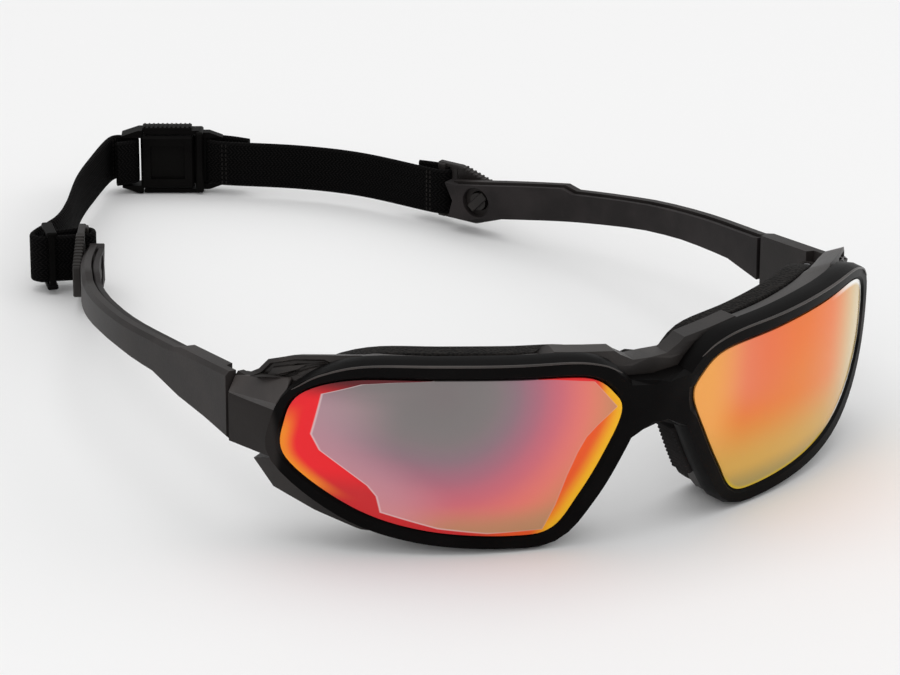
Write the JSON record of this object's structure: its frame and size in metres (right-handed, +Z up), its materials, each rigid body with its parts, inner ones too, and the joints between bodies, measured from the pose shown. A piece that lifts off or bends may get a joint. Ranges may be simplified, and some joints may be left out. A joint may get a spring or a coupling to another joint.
{
  "type": "motorcycle goggles",
  "caption": "Wrap-around sealed riding goggles with mirrored lenses, vented foam-backed carriage, folding temples and an adjustable strap with a side-release buckle.",
  "frame": {"origin": "middle of the bounding box, on the surface the goggles lie on", "axes": "+X towards the wearer's left, -Y forwards out of the lenses, +Z up"},
  "size_m": [0.1512, 0.248, 0.0449],
  "materials": {
    "frame_plastic": "matte moulded nylon",
    "lens_mirror": "polished red-orange mirror coating",
    "carriage_plastic": "fine-grained moulded plastic",
    "foam": "closed-cell foam with a brushed skin",
    "nose_rubber": "soft ribbed rubber",
    "pin_steel": "drawn steel",
    "temple_plastic": "matte moulded nylon",
    "liner_plastic": "soft-touch moulded layer",
    "clip_plastic": "satin acetal",
    "webbing": "woven elastic webbing",
    "buckle_plastic": "satin acetal"
  },
  "bodies": {
    "front": {"front_frame": "frame_plastic", "lens_right": "lens_mirror", "lens_left": "lens_mirror", "rear_carriage": "carriage_plastic", "foam_gasket": "foam", "nose_pad_right": "nose_rubber", "nose_pad_left": "nose_rubber", "hinge_pin_right": "pin_steel", "hinge_pin_left": "pin_steel"},
    "temple_right": {"temple_arm_right": "temple_plastic", "temple_liner_right": "liner_plastic"},
    "temple_left": {"temple_arm_left": "temple_plastic", "temple_liner_left": "liner_plastic"},
    "clip_right": {"strap_clip_right": "clip_plastic", "strap_right_front": "webbing"},
    "clip_left": {"strap_clip_left": "clip_plastic"},
    "strap_back": {"buckle_socket": "buckle_plastic", "strap_right_rear": "webbing", "strap_left": "webbing"},
    "adjuster": {"strap_adjuster": "buckle_plastic"},
    "buckle_plug": {"buckle_plug": "buckle_plastic"}
  },
  "joints": [
    {"name": "temple_right_fold", "type": "hinge", "parent": "front", "child": "temple_right", "pos_m": [-0.0698, -0.06927, 0.02522], "axis": [0, 0, -1], "range_deg": [0, 62], "deforming": ["strap_right_front", "strap_right_rear"]},
    {"name": "temple_left_fold", "type": "hinge", "parent": "front", "child": "temple_left", "pos_m": [0.0698, -0.06927, 0.02522], "axis": [0, 0, 1], "range_deg": [0, 80], "deforming": ["strap_left"]},
    {"name": "clip_right_turn", "type": "hinge", "parent": "temple_right", "child": "clip_right", "pos_m": [-0.05395, 0.05313, 0.00897], "axis": [-0.8819, 0.4715, 0], "range_deg": [-10, 10], "deforming": ["strap_right_front", "strap_right_rear"]},
    {"name": "clip_left_turn", "type": "hinge", "parent": "temple_left", "child": "clip_left", "pos_m": [0.05395, 0.05313, 0.00897], "axis": [0.8819, 0.4715, 0], "range_deg": [-10, 10], "deforming": ["strap_left"]},
    {"name": "strap_lift", "type": "hinge", "parent": "front", "child": "strap_back", "pos_m": [0, 0.05313, 0.00897], "axis": [1, 0, 0], "range_deg": [0, 20], "deforming": ["strap_right_rear", "strap_left"]},
    {"name": "adjuster_slide", "type": "slide", "parent": "clip_right", "child": "adjuster", "axis": [0.9701, -0.2428, 0], "range_m": [0, 0.004], "deforming": ["strap_right_front", "strap_right_rear"]},
    {"name": "plug_release", "type": "slide", "parent": "strap_back", "child": "buckle_plug", "axis": [0.8886, -0.4588, 0], "range_m": [0, 0.02], "deforming": ["strap_left"]}
  ]
}
